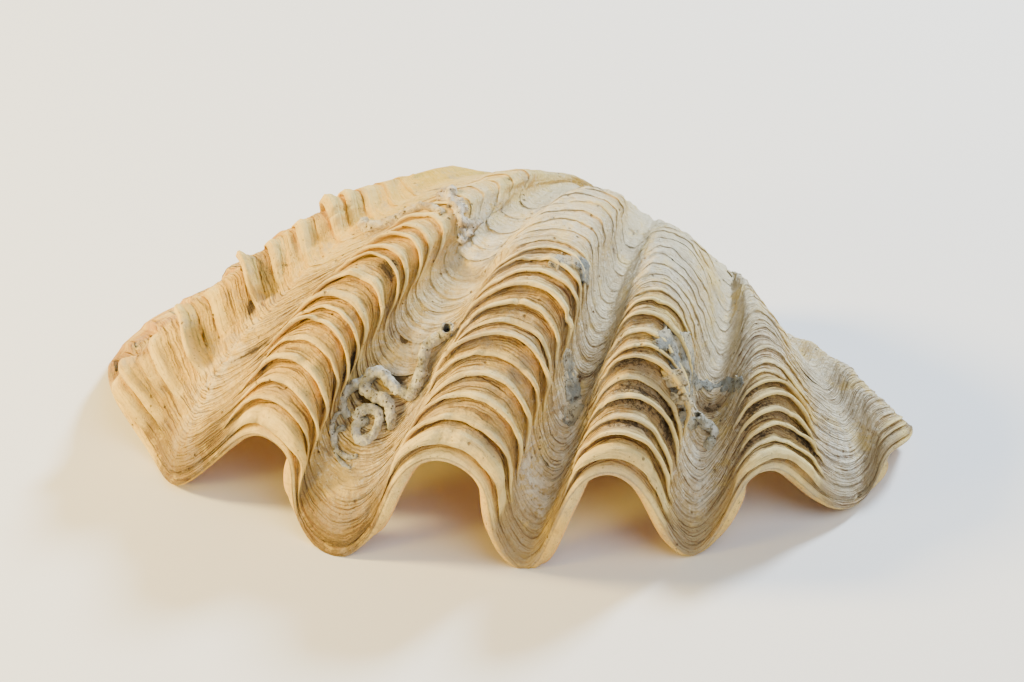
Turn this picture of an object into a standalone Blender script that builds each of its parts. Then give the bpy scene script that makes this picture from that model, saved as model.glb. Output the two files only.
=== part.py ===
"""One valve of a giant clam shell, lying on its margin with the ribbed outside up."""

import bpy
import numpy as np

for old in list(bpy.data.objects):
    bpy.data.objects.remove(old, do_unlink=True)

MM = 0.001
CENTRE = np.array([-2.5, -35.0, 0.0])

# The margin from the left hinge corner, round the scalloped front, to the right
# hinge corner, in millimetres above the table: across, back, up.
MARGIN = [
    (-98.5, -20.0, 7.0),
    (-93.0, -40.0, 10.5),
    (-84.5, -49.5, 2.0),
    (-78.5, -59.5, 2.5),
    (-65.5, -65.0, 16.5),
    (-57.0, -68.5, 24.5),
    (-50.0, -73.5, 22.5),
    (-48.0, -76.0, 5.0),
    (-40.0, -82.0, 0.0),
    (-32.5, -83.0, 6.5),
    (-23.5, -84.5, 27.0),
    (-15.5, -85.0, 31.0),
    (-7.0, -88.0, 27.0),
    (-3.5, -88.5, 11.5),
    (2.5, -86.5, 0.5),
    (9.0, -89.0, 15.0),
    (16.5, -88.0, 28.0),
    (22.0, -87.0, 28.5),
    (29.0, -86.5, 22.0),
    (35.5, -85.0, 7.5),
    (40.5, -83.0, 1.5),
    (46.0, -82.0, 8.5),
    (52.0, -79.0, 19.5),
    (58.5, -74.5, 19.5),
    (67.5, -72.0, 10.5),
    (77.0, -68.5, 3.0),
    (83.0, -62.0, 3.5),
    (86.0, -58.5, 9.5),
    (91.5, -52.5, 9.5),
    (95.0, -41.0, 4.5),
]
# Which rows above are rib crests and which are the bottoms of valleys.
CRESTS = (1, 5, 11, 17, 23, 28)
VALLEYS = (3, 8, 14, 20, 25)
# How far each of those lines bends sideways early and late in its growth, and how
# far it rises, in millimetres, left to right.
BENDS = [
    (1.0, -1.5, 2.0),
    (-5.0, -5.5, -0.5),
    (4.0, -8.5, 0.0),
    (-4.0, -3.5, -0.5),
    (-0.5, 0.5, -1.5),
    (-0.5, 1.0, 1.5),
    (-0.5, 0.0, -3.0),
    (4.0, -3.0, -2.5),
    (-1.5, 1.5, 0.0),
    (1.0, 3.0, -1.0),
    (1.5, 2.0, -0.5),
]

UMBO = np.array([21.7, -6.2, 13.2])
HINGE_AXIS = np.array([1.0, -0.377, -0.209])
COIL = 1.55
COIL_EXTRA = 0.21
SIDE_POWER = 0.79
OLDEST = 1.58

# Growth stops, as the age of each ledge: 0 is the margin.
STOPS = [0.018, 0.046, 0.078, 0.112, 0.147, 0.180, 0.208, 0.238, 0.277, 0.317]
STOPS += [0.347, 0.376, 0.408, 0.446, 0.500, 0.560, 0.625, 0.700]
LEDGE_LIFT = 2.4
LEDGE_TUCK = 0.012
VALLEY_LIFT = 0.16

LIP_THICKNESS = 3.0
BODY_THICKNESS = 6.0
RIB_HALF_HEIGHT = 17.0
HOLLOW_AGE = 0.58
HOLLOW_CENTRE = np.array([0.0, -38.0, -5.0])
HOLLOW_ROWS = 8

# The back edge, where the shell stands on the table behind the beak, left to right.
HINGE_EDGE = [
    (-98.5, -20.0, 7.0),
    (-100.0, -6.0, 2.0),
    (-96.0, 6.0, 0.0),
    (-82.0, 15.0, 0.0),
    (-55.0, 19.0, 0.0),
    (-20.0, 19.0, 0.0),
    (12.0, 14.0, 0.0),
    (30.0, 4.0, 0.0),
    (45.0, -8.5, 0.0),
    (64.0, -16.0, 0.0),
    (84.0, -28.0, 0.0),
    (95.0, -41.0, 4.5),
]
BEAK_FROM = 12.0
BEAK_TO = 30.0
HINGE_PLATE = 11.0

COLUMNS = 56

# Tubes that worms built on the shell: radius, how deep they are sunk, then the way
# they run as (place along the margin 0 to 1, age).
TUBE_RADIUS = 1.35
TUBES = {
    "long tube": (1.0, [
        (0.381, 0.246), (0.345, 0.322), (0.328, 0.334), (0.332, 0.298), (0.343, 0.249),
        (0.346, 0.225), (0.336, 0.231), (0.318, 0.262), (0.305, 0.274), (0.296, 0.262),
        (0.295, 0.240), (0.305, 0.237), (0.317, 0.238), (0.325, 0.216), (0.330, 0.190),
    ]),
    "side loop": (0.9, [
        (0.298, 0.264), (0.290, 0.234), (0.283, 0.207), (0.285, 0.189), (0.293, 0.184),
    ]),
    "small coil": (1.1, [
        (0.300, 0.196), (0.305, 0.216), (0.315, 0.219), (0.320, 0.192), (0.315, 0.172),
        (0.306, 0.176),
    ]),
    "top ridge": (0.8, [
        (0.104, 0.598), (0.150, 0.532), (0.172, 0.505), (0.190, 0.490), (0.229, 0.462),
    ]),
    "hook": (0.8, [
        (0.711, 0.243), (0.726, 0.256), (0.740, 0.237), (0.745, 0.208), (0.735, 0.205),
    ]),
}


def spline(knots, values, at):
    """Natural cubic spline through the rows of values."""
    knots = np.asarray(knots, float)
    values = np.asarray(values, float)
    n = len(knots)
    step = np.diff(knots)
    slope = np.diff(values, axis=0) / step[:, None]
    system = np.eye(n)
    right = np.zeros_like(values)
    for i in range(1, n - 1):
        system[i, i - 1] = step[i - 1]
        system[i, i] = 2 * (step[i - 1] + step[i])
        system[i, i + 1] = step[i]
        right[i] = 6 * (slope[i] - slope[i - 1])
    bend = np.linalg.solve(system, right)
    k = np.clip(np.searchsorted(knots, at) - 1, 0, n - 2)
    t = (at - knots[k])[:, None]
    h = step[k][:, None]
    first = slope[k] - h * (2 * bend[k] + bend[k + 1]) / 6
    return values[k] + first * t + bend[k] * t**2 / 2 + (bend[k + 1] - bend[k]) / h * t**3 / 6


def smooth(low, high, x):
    t = np.clip((x - low) / (high - low), 0, 1)
    return t * t * (3 - 2 * t)


ROWS = np.array(MARGIN)
KNOTS = np.concatenate([[0], np.cumsum(np.linalg.norm(np.diff(ROWS, axis=0), axis=1) ** 0.8)])
KNOTS /= KNOTS[-1]
LINES = sorted(CRESTS + VALLEYS)
LINE_AT = KNOTS[LINES]
AXIS = HINGE_AXIS / np.linalg.norm(HINGE_AXIS)


def ribness(u):
    """1 on the crest of a rib, 0 at the bottom of a valley and at the hinge corners."""
    at = np.concatenate([[0], LINE_AT, [1]])
    high = np.array([0.0] + [float(i in CRESTS) for i in LINES] + [0.0])
    k = np.clip(np.searchsorted(at, u) - 1, 0, len(at) - 2)
    t = (u - at[k]) / (at[k + 1] - at[k])
    return high[k] + (high[k + 1] - high[k]) * (0.5 - 0.5 * np.cos(np.pi * t))


def calm_margin(u):
    """The margin with the scallops ironed out: halfway between crests and valleys."""
    middle = (ROWS[LINES[:-1]] + ROWS[LINES[1:]]) / 2
    rows = np.vstack([ROWS[0], ROWS[LINES[0]], middle, ROWS[LINES[-1]], ROWS[-1]])
    between = (LINE_AT[:-1] + LINE_AT[1:]) / 2
    at = np.concatenate([[0], LINE_AT[:1], between, LINE_AT[-1:], [1]])
    return spline(at, rows, u)


def grown(start, u, age, bent=1.0):
    """Where the margin point start was when the shell was exp(-age) of its size."""
    size = np.exp(-age)[:, None]
    turn = COIL * age[:, None] + COIL_EXTRA * (1 - size)
    from_umbo = start - UMBO
    along = (from_umbo @ AXIS)[:, None] * AXIS
    out = from_umbo - along
    side = np.cross(AXIS, out)
    ease = 4 * size * (1 - size)
    late = ease * (2 * size - 1) * 2
    bends = np.array(BENDS)
    bend = np.stack([np.interp(u, LINE_AT, bends[:, i]) for i in range(3)], axis=1)
    near_hinge = np.where(u < LINE_AT[0], u / LINE_AT[0], 1)
    near_hinge = np.where(u > LINE_AT[-1], (1 - u) / (1 - LINE_AT[-1]), near_hinge)
    bend = bend * bent * (0.7 + 0.3 * near_hinge)[:, None]
    place = UMBO + (out * np.cos(turn) - side * np.sin(turn)) * size + along * size**SIDE_POWER
    place[:, :1] += bend[:, :1] * ease + bend[:, 1:2] * late
    place[:, 2:] += bend[:, 2:] * ease
    return place


def sheet(u, age, calm=0.0, bent=1.0):
    """Points and outward normals of the shell wall, without its ledges."""

    def place(u_, age_):
        start = spline(KNOTS, ROWS, u_) * (1 - calm) + calm_margin(u_) * calm
        return grown(start, u_, age_, bent)

    small = 1e-4
    age = age + np.zeros(len(u))
    here = place(u, age)
    du = place(np.clip(u + small, 0, 1), age) - place(np.clip(u - small, 0, 1), age)
    da = place(u, age + small) - place(u, age - small)
    normal = np.cross(du, da)
    normal /= np.linalg.norm(normal, axis=1)[:, None]
    return here, normal


def worn(age):
    """How far the scallops are ironed out near the beak."""
    return 0.92 * smooth(0.55, 1.15, age)


def outer_rows():
    """(age, lift, tuck) of each row of the outside, from the margin to the beak."""
    rows = [(0.0, 0.0, 0.0)]
    for stop, after in zip(STOPS, STOPS[1:] + [STOPS[-1] + 0.06]):
        rows.append((stop, -0.1, LEDGE_TUCK))
        rows.append((stop, 0.75, 0.0))
        rows.append((stop + 0.2 * (after - stop), 1.0, 0.0))
    return rows + [(age, 0.0, 0.0) for age in np.linspace(STOPS[-1] + 0.08, OLDEST, 8)]


def outside(u):
    grid = []
    strength = VALLEY_LIFT + (1 - VALLEY_LIFT) * ribness(u)
    ends = smooth(0, 0.03, u) * smooth(0, 0.03, 1 - u)
    for age, lift, tuck in outer_rows():
        height = LEDGE_LIFT * np.exp(-0.7 * age) * (1 - smooth(0.6, 0.85, age))
        place, normal = sheet(u, age + tuck * strength * ends, worn(age))
        grid.append(place + normal * (lift * height * strength * ends)[:, None])
    return np.array(grid)


def inside(u):
    grid = []
    body = 0.3 + 0.7 * smooth(0, 0.2, u) * smooth(0, 0.2, 1 - u)
    for age in np.linspace(0, HOLLOW_AGE, HOLLOW_ROWS):
        calm = smooth(0.05, 0.42, age)
        place, normal = sheet(u, age, calm, 1 - calm)
        thick = BODY_THICKNESS - LIP_THICKNESS + RIB_HALF_HEIGHT * np.exp(-age)
        outward = place - HOLLOW_CENTRE
        outward /= np.linalg.norm(outward, axis=1)[:, None]
        outward = normal * (1 - calm) + outward * calm
        grid.append(place - outward * (LIP_THICKNESS + calm * thick * body)[:, None])
    return np.array(grid)


def border(grid):
    """The edge of a grid that isn't margin: down the left, across, back up the right."""
    return [(j, 0) for j in range(len(grid))] + [
        (len(grid) - 1, i) for i in range(1, grid.shape[1])
    ] + [(j, grid.shape[1] - 1) for j in range(len(grid) - 2, -1, -1)]


class Solid:
    def __init__(self):
        self.points = []
        self.faces = []

    def add(self, rows):
        first = len(self.points)
        self.points.extend([tuple(p) for p in rows])
        return list(range(first, len(self.points)))

    def face(self, *corners):
        ring = [c for i, c in enumerate(corners) if c != corners[i - 1]]
        if len(set(ring)) >= 3:
            self.faces.append(tuple(ring))

    def grid(self, ids, flip):
        for j in range(len(ids) - 1):
            for i in range(len(ids[0]) - 1):
                ring = (ids[j][i], ids[j][i + 1], ids[j + 1][i + 1], ids[j + 1][i])
                self.face(*(ring[::-1] if flip else ring))

    def zip(self, a, a_at, b, b_at, flip):
        """Triangles between two lines of points that run side by side."""
        i = j = 0
        while i < len(a) - 1 or j < len(b) - 1:
            take_a = j == len(b) - 1 or (i < len(a) - 1 and a_at[i + 1] <= b_at[j + 1])
            ring = (a[i], a[i + 1], b[j]) if take_a else (a[i], b[j + 1], b[j])
            self.face(*(ring[::-1] if flip else ring))
            i, j = (i + 1, j) if take_a else (i, j + 1)

    def object(self, name):
        mesh = bpy.data.meshes.new(name)
        points = (np.array(self.points) - CENTRE) * MM
        mesh.from_pydata(points.tolist(), [], self.faces)
        made = bpy.data.objects.new(name, mesh)
        bpy.context.collection.objects.link(made)
        return made


def hinge_edge(at, forward):
    """Points along the back edge, drawn together under the beak, at from 0 to 1."""
    edge = np.array(HINGE_EDGE)
    far = np.concatenate([[0], np.cumsum(np.linalg.norm(np.diff(edge, axis=0), axis=1))])
    beak = np.interp([BEAK_FROM, BEAK_TO], edge[:, 0], far)
    along = np.interp(at, [0, 0.42, 0.58, 1], [0, beak[0], beak[1], far[-1]])
    line = spline(far, edge, along)
    ahead = spline(far, edge, np.minimum(along + 0.5, far[-1]))
    behind = spline(far, edge, np.maximum(along - 0.5, 0))
    run = (ahead - behind)[:, :2]
    run /= np.linalg.norm(run, axis=1)[:, None]
    width = forward * smooth(0, 0.12, at) * smooth(0, 0.25, 1 - at)
    line[:, 0] += run[:, 1] * width
    line[:, 1] -= run[:, 0] * width
    return line


def border_place(grid, edge):
    """0 to 1 along the border: each side takes 0.42 and the stretch across the rest."""
    last = len(grid) - 1
    wide = grid.shape[1] - 1
    points = np.array([grid[j][i] for j, i in edge])
    far = np.concatenate([[0], np.cumsum(np.linalg.norm(np.diff(points, axis=0), axis=1))])
    a, b = far[last], far[last + wide]
    return np.interp(far, [0, a, b, far[-1]], [0, 0.42, 0.58, 1])


def away(u, grid, edge, ages):
    """The direction in which the sheet leaves its border, evened out along it."""
    last = len(grid) - 1
    wide = grid.shape[1] - 1
    leave = []
    for j, i in edge:
        calm = worn(ages[j])
        here = sheet(u[i : i + 1], ages[j], calm)[0][0]
        if j == last:
            there = sheet(u[i : i + 1], ages[j] + 0.01, calm)[0][0]
        else:
            there = sheet(np.array([0.003 if i == 0 else 0.997]), ages[j], calm)[0][0]
            there = 2 * here - there
        leave.append((there - here) / np.linalg.norm(there - here))
    leave = np.array(leave)
    for _ in range(6):
        leave[1:-1] = (leave[:-2] + leave[1:-1] * 2 + leave[2:]) / 4
    return leave / np.linalg.norm(leave, axis=1)[:, None]


def make_shell():
    u = np.linspace(0, 1, COLUMNS + 1)
    out = outside(u)
    hollow = inside(u)
    out[..., 2] = np.maximum(out[..., 2], 0)
    hollow[..., 2] = np.maximum(hollow[..., 2], 0)
    solid = Solid()
    out_ids = [solid.add(row) for row in out]
    in_ids = [solid.add(row) for row in hollow]
    solid.grid(out_ids, False)
    solid.grid(in_ids, True)
    solid.grid([in_ids[0], out_ids[0]], False)
    out_ages = [row[0] for row in outer_rows()]
    in_ages = list(np.linspace(0, HOLLOW_AGE, HOLLOW_ROWS))
    even = np.linspace(0, 1, 43)
    feet = []
    sides = (
        (out, out_ids, out_ages, 0.0, (0.2, 0.45, 0.75, 1.0)),
        (hollow, in_ids, in_ages, HINGE_PLATE, (0.5, 1.0)),
    )
    for grid, ids, ages, forward, parts in sides:
        edge = border(grid)
        at = border_place(grid, edge)
        above = [ids[j][i] for j, i in edge]
        above_at = at
        top = np.array([grid[j][i] for j, i in edge])
        top = np.stack([np.interp(even, at, top[:, k]) for k in range(3)], axis=1)
        leave = away(u, grid, edge, ages)
        leave = np.stack([np.interp(even, at, leave[:, k]) for k in range(3)], axis=1)
        foot = hinge_edge(even, forward)
        foot[0], foot[-1] = top[0], top[-1]
        foot[:, 2] = np.maximum(foot[:, 2], 0)
        far = np.linalg.norm(foot - top, axis=1)[:, None]
        for t in parts:
            row = top * (2 * t**3 - 3 * t**2 + 1) + foot * (3 * t**2 - 2 * t**3)
            if forward == 0:
                row += leave * far * 0.8 * (t**3 - 2 * t**2 + t)
                row += np.array([0, 0, -1]) * far * 0.5 * (t**3 - t**2)
            row = [above[0]] + solid.add(row[1:-1]) + [above[-1]]
            solid.zip(above, above_at, row, even, forward > 0)
            above, above_at = row, even
        feet.append(above)
    solid.zip(feet[0], even, feet[1], even, False)
    return solid.object("shell")


def make_tube(name, scale, way):
    """A six-sided tube that lies half sunk along the way given on the shell."""
    way = np.array(way)
    far = np.arange(len(way), dtype=float)
    fine = spline(far, way, np.linspace(0, len(way) - 1, 2 * len(way) - 1))
    place, normal = sheet(fine[:, 0], fine[:, 1])
    radius = TUBE_RADIUS * scale
    middle = place + normal * radius * 0.55
    ahead = np.gradient(middle, axis=0)
    ahead /= np.linalg.norm(ahead, axis=1)[:, None]
    side = np.cross(ahead, normal)
    side /= np.linalg.norm(side, axis=1)[:, None]
    up = np.cross(side, ahead)
    points = []
    for k in range(6):
        turn = np.pi * k / 3
        points.append(middle + radius * (side * np.cos(turn) + up * np.sin(turn)))
    points = np.stack(points, axis=1)
    solid = Solid()
    rings = [solid.add(ring) for ring in points]
    for a, b in zip(rings, rings[1:]):
        for k in range(6):
            solid.face(a[k], a[(k + 1) % 6], b[(k + 1) % 6], b[k])
    solid.face(*rings[0][::-1])
    solid.face(*rings[-1])
    return solid.object(name)


def material(name, colour, roughness):
    made = bpy.data.materials.new(name)
    made.use_nodes = True
    shader = made.node_tree.nodes["Principled BSDF"]
    shader.inputs["Base Color"].default_value = (*colour, 1)
    shader.inputs["Roughness"].default_value = roughness
    return made


shell = make_shell()
for name, (scale, way) in TUBES.items():
    tube = make_tube(name, scale, way)
    tube.hide_render = True
    tube.hide_viewport = True
    fuse = shell.modifiers.new(name, "BOOLEAN")
    fuse.operation = "UNION"
    fuse.solver = "EXACT"
    fuse.object = tube
shell.data.materials.append(material("shell chalk", (0.72, 0.62, 0.46), 0.75))
low = [min(v.co[k] for v in shell.data.vertices) * 1000 for k in range(3)]
high = [max(v.co[k] for v in shell.data.vertices) * 1000 for k in range(3)]
print("shell:", len(shell.data.vertices), "points,", len(shell.data.polygons), "faces")
print("from", [round(d, 2) for d in low], "to", [round(d, 2) for d in high], "mm")
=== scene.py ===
# %% [markdown]
# # One valve of a giant clam
# The real thing is a thick bowl of lime, laid down by the animal one thin layer at a
# time. It lies here on its wavy margin with the ribbed outside up. The solid made for
# the simulator holds its size and its main forms. This notebook grows the same shell
# again with many more faces, adds what worms and weed cemented to it, and gives each
# surface its finish. First the fixed frame is loaded. All places are in metres.

# %% Load the fixed frame
import math
from contextlib import contextmanager

import bmesh
import bpy
import numpy as np
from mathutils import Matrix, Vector


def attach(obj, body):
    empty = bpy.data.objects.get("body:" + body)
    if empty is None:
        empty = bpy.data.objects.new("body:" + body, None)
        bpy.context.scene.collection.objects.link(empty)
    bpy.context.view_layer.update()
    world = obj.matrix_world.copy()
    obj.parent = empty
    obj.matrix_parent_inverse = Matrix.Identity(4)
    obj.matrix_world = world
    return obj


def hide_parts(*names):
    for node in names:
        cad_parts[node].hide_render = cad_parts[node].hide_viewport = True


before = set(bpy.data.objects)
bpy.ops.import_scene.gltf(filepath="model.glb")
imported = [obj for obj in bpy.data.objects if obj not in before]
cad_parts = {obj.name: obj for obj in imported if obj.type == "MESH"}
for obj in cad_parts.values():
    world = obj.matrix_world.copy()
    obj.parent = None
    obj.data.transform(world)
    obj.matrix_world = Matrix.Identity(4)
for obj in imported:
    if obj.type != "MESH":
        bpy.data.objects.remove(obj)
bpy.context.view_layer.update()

MM = 0.001


# %% [markdown]
# ## The camera
# The shell is seen from the front and well above, through a longish lens, so that the
# teeth of the margin keep nearly the same size from left to right. The camera looks at
# the middle of the margin's height on the table, and its lens is given as the distance
# in picture widths that makes the shell fill the frame as it does in the photograph.

# %% Camera
LOOK_AT = Vector((0.0025, 0.035, 0.0))
LOOK_DOWN = math.radians(36.0)
CAMERA_DISTANCE = 0.588
SENSOR_WIDTH = 36.0
FOCAL_PIXELS = 2327.5
PICTURE_WIDTH = 1024

camera_data = bpy.data.cameras.new("camera")
camera_data.sensor_width = SENSOR_WIDTH
camera_data.lens = SENSOR_WIDTH * FOCAL_PIXELS / PICTURE_WIDTH
camera = bpy.data.objects.new("camera", camera_data)
bpy.context.scene.collection.objects.link(camera)
back = Vector((0.0, -math.cos(LOOK_DOWN), math.sin(LOOK_DOWN)))
camera.location = LOOK_AT + back * CAMERA_DISTANCE
camera.rotation_euler = (math.pi / 2 - LOOK_DOWN, 0.0, 0.0)
bpy.context.scene.camera = camera
print("lens", round(camera_data.lens, 1), "mm")


# %% [markdown]
# ## Floor and light
# A pale plain floor and four soft lamps, as in a small studio: a yellow one on the left
# and a cool one behind on the right, so that each fills the shadow of the other with its
# own colour, a wide pale one in front, and a weak yellow one near the left end. A faint
# blue world fills the folds.

# %% Floor and lamps
def only(obj):
    """Select this object and nothing else, so that an operator acts on it alone."""
    bpy.ops.object.select_all(action="DESELECT")
    obj.select_set(True)
    bpy.context.view_layer.objects.active = obj


def plain(name, colour, roughness):
    """A finish of one colour."""
    made = bpy.data.materials.new(name)
    made.use_nodes = True
    shader = made.node_tree.nodes["Principled BSDF"]
    shader.inputs["Base Color"].default_value = (*colour, 1)
    shader.inputs["Roughness"].default_value = roughness
    return made


def lamp(name, place, aim, size, power, colour):
    light = bpy.data.lights.new(name, "AREA")
    light.shape = "DISK"
    light.size = size
    light.energy = power
    light.color = colour
    made = bpy.data.objects.new(name, light)
    bpy.context.scene.collection.objects.link(made)
    made.location = place
    made.rotation_euler = (Vector(aim) - Vector(place)).to_track_quat("-Z", "Y").to_euler()


bpy.ops.object.select_all(action="DESELECT")
bpy.ops.mesh.primitive_plane_add(size=8.0, location=(0, 0, 0))
floor = bpy.context.active_object
floor.name = "floor"
floor.data.materials.append(plain("pale floor", (0.86, 0.845, 0.83), 0.9))

lamp("yellow key", (-0.85, 0.05, 0.50), (0, 0, 0.02), 0.20, 24.0, (1.0, 0.73, 0.27))
lamp("window", (0.60, 0.70, 0.80), (0, 0, 0.02), 0.26, 31.0, (0.71, 0.85, 1.0))
lamp("front fill", (0.40, -0.55, 0.95), (0, 0, 0.02), 0.9, 8.5, (0.90, 0.94, 1.0))
lamp("low yellow", (-0.55, -0.30, 0.20), (-0.05, -0.04, 0.01), 0.16, 3.6, (1.0, 0.70, 0.10))

world = bpy.data.worlds.new("studio")
bpy.context.scene.world = world
world.use_nodes = True
world.node_tree.nodes["Background"].inputs["Color"].default_value = (0.80, 0.88, 1.0, 1)
world.node_tree.nodes["Background"].inputs["Strength"].default_value = 0.25


# %% [markdown]
# ## The margin
# A clam adds shell only at its margin, so the margin curve is the plan for the whole
# thing. These rows are its crests, valleys and the turns between them, in millimetres
# above the table, and a natural cubic spline runs through them. The same rows drive the
# solid, so the two agree.

# %% The margin curve
CENTRE = np.array([-2.5, -35.0, 0.0])
MARGIN = [
    (-98.5, -20.0, 7.0), (-93.0, -40.0, 10.5), (-84.5, -49.5, 2.0),
    (-78.5, -59.5, 2.5), (-65.5, -65.0, 16.5), (-57.0, -68.5, 24.5),
    (-50.0, -73.5, 22.5), (-48.0, -76.0, 5.0), (-40.0, -82.0, 0.0),
    (-32.5, -83.0, 6.5), (-23.5, -84.5, 27.0), (-15.5, -85.0, 31.0),
    (-7.0, -88.0, 27.0), (-3.5, -88.5, 11.5), (2.5, -86.5, 0.5),
    (9.0, -89.0, 15.0), (16.5, -88.0, 28.0), (22.0, -87.0, 28.5),
    (29.0, -86.5, 22.0), (35.5, -85.0, 7.5), (40.5, -83.0, 1.5),
    (46.0, -82.0, 8.5), (52.0, -79.0, 19.5), (58.5, -74.5, 19.5),
    (67.5, -72.0, 10.5), (77.0, -68.5, 3.0), (83.0, -62.0, 3.5),
    (86.0, -58.5, 9.5), (91.5, -52.5, 9.5), (95.0, -41.0, 4.5),
]
CRESTS = (1, 5, 11, 17, 23, 28)
VALLEYS = (3, 8, 14, 20, 25)


def spline(knots, values, at):
    """Natural cubic spline through the rows of values."""
    knots = np.asarray(knots, float)
    values = np.asarray(values, float)
    n = len(knots)
    step = np.diff(knots)
    slope = np.diff(values, axis=0) / step[:, None]
    system = np.eye(n)
    right = np.zeros_like(values)
    for i in range(1, n - 1):
        system[i, i - 1 : i + 2] = step[i - 1], 2 * (step[i - 1] + step[i]), step[i]
        right[i] = 6 * (slope[i] - slope[i - 1])
    bend = np.linalg.solve(system, right)
    k = np.clip(np.searchsorted(knots, at) - 1, 0, n - 2)
    t = (at - knots[k])[:, None]
    h = step[k][:, None]
    first = slope[k] - h * (2 * bend[k] + bend[k + 1]) / 6
    return values[k] + first * t + bend[k] * t**2 / 2 + (bend[k + 1] - bend[k]) / h * t**3 / 6


def smooth(low, high, x):
    """0 below low, 1 above high, with a soft start and end."""
    t = np.clip((x - low) / (high - low), 0, 1)
    return t * t * (3 - 2 * t)


ROWS = np.array(MARGIN)
KNOTS = np.concatenate([[0], np.cumsum(np.linalg.norm(np.diff(ROWS, axis=0), axis=1) ** 0.8)])
KNOTS /= KNOTS[-1]
LINES = sorted(CRESTS + VALLEYS)
LINE_AT = KNOTS[LINES]
print("crests and valleys lie at", LINE_AT.round(3), "along the margin")


# %% [markdown]
# ## How it grew
# Each older margin is the same curve, smaller and turned about the hinge, so the shell
# is a spiral: size falls off evenly with age, and so does the turn. Age 0 is today's
# margin. Small sideways bends for each rib and valley make the ribs sweep as the real
# ones do. Near the beak, where the young animal was smooth, the scallops fade away.

# %% The growth spiral
BENDS = [
    (1.0, -1.5, 2.0), (-5.0, -5.5, -0.5), (4.0, -8.5, 0.0), (-4.0, -3.5, -0.5),
    (-0.5, 0.5, -1.5), (-0.5, 1.0, 1.5), (-0.5, 0.0, -3.0), (4.0, -3.0, -2.5),
    (-1.5, 1.5, 0.0), (1.0, 3.0, -1.0), (1.5, 2.0, -0.5),
]
UMBO = np.array([21.7, -6.2, 13.2])
HINGE_AXIS = np.array([1.0, -0.377, -0.209])
AXIS = HINGE_AXIS / np.linalg.norm(HINGE_AXIS)
COIL = 1.55
COIL_EXTRA = 0.21
SIDE_POWER = 0.79
OLDEST = 1.58


def calm_margin(u):
    """The margin with the scallops ironed out: halfway between crests and valleys."""
    middle = (ROWS[LINES[:-1]] + ROWS[LINES[1:]]) / 2
    rows = np.vstack([ROWS[0], ROWS[LINES[0]], middle, ROWS[LINES[-1]], ROWS[-1]])
    between = (LINE_AT[:-1] + LINE_AT[1:]) / 2
    at = np.concatenate([[0], LINE_AT[:1], between, LINE_AT[-1:], [1]])
    return spline(at, rows, u)


def grown(start, u, age, bent):
    """Where the margin point start was when the shell was exp(-age) of its size."""
    size = np.exp(-age)[:, None]
    turn = COIL * age[:, None] + COIL_EXTRA * (1 - size)
    from_umbo = start - UMBO
    along = (from_umbo @ AXIS)[:, None] * AXIS
    out = from_umbo - along
    side = np.cross(AXIS, out)
    ease = 4 * size * (1 - size)
    late = ease * (2 * size - 1) * 2
    bends = np.array(BENDS)
    bend = np.stack([np.interp(u, LINE_AT, bends[:, i]) for i in range(3)], axis=1)
    near_hinge = np.where(u < LINE_AT[0], u / LINE_AT[0], 1)
    near_hinge = np.where(u > LINE_AT[-1], (1 - u) / (1 - LINE_AT[-1]), near_hinge)
    bend = bend * bent * (0.7 + 0.3 * near_hinge)[:, None]
    place = UMBO + (out * np.cos(turn) - side * np.sin(turn)) * size + along * size**SIDE_POWER
    place[:, :1] += bend[:, :1] * ease + bend[:, 1:2] * late
    place[:, 2:] += bend[:, 2:] * ease
    return place


def sheet(u, age, calm=0.0, bent=1.0):
    """Points and outward normals of the wall, before ledges."""
    u = np.asarray(u, float)
    age = age + np.zeros(len(u))
    calm = (calm + np.zeros(len(u)))[:, None]
    bent = (bent + np.zeros(len(u)))[:, None]

    def place(at, old):
        start = spline(KNOTS, ROWS, at) * (1 - calm) + calm_margin(at) * calm
        return grown(start, at, old, bent)

    small = 1e-4
    du = place(np.clip(u + small, 0, 1), age) - place(np.clip(u - small, 0, 1), age)
    da = place(u, age + small) - place(u, age - small)
    normal = np.cross(du, da)
    normal /= np.linalg.norm(normal, axis=1)[:, None]
    return place(u, age), normal


def worn(age):
    """How far the scallops are ironed out near the beak."""
    return 0.92 * smooth(0.55, 1.15, age)


# %% [markdown]
# ## Growth ledges
# The animal grew in bursts. After each it left its lip standing and started again from
# underneath, so each rib carries a stack of scales, like tiles that overhang the younger
# shell below. A scale is thick and round on the crest of a rib, runs down its right
# flank as a crescent and dies out in the valley, where only fine lines are left. One
# profile, repeated at each stop, makes them, and seeded random lines vary each scale, so
# no two are alike and every run gives the same shell. Three places differ: the left rib
# lost many scales, and the backs of those that are left run on over the gaps, the old
# upper part is worn soft, and a smooth lobe hangs over the second valley.

# %% Ledges
STOPS = [0.016, 0.051, 0.081, 0.112, 0.147, 0.180, 0.208, 0.238, 0.277, 0.317]
STOPS += [0.347, 0.376, 0.408, 0.446, 0.485, 0.525, 0.570, 0.620, 0.680, 0.745]
STOPS = np.array(STOPS)
LEDGE_LIFT = 2.4
LEDGE_TUCK = 0.013
VALLEY_LIFT = 0.025
LAST_LEDGE = 0.05
CHIPS = 10
CARRIED_BACK = 0.62
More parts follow.
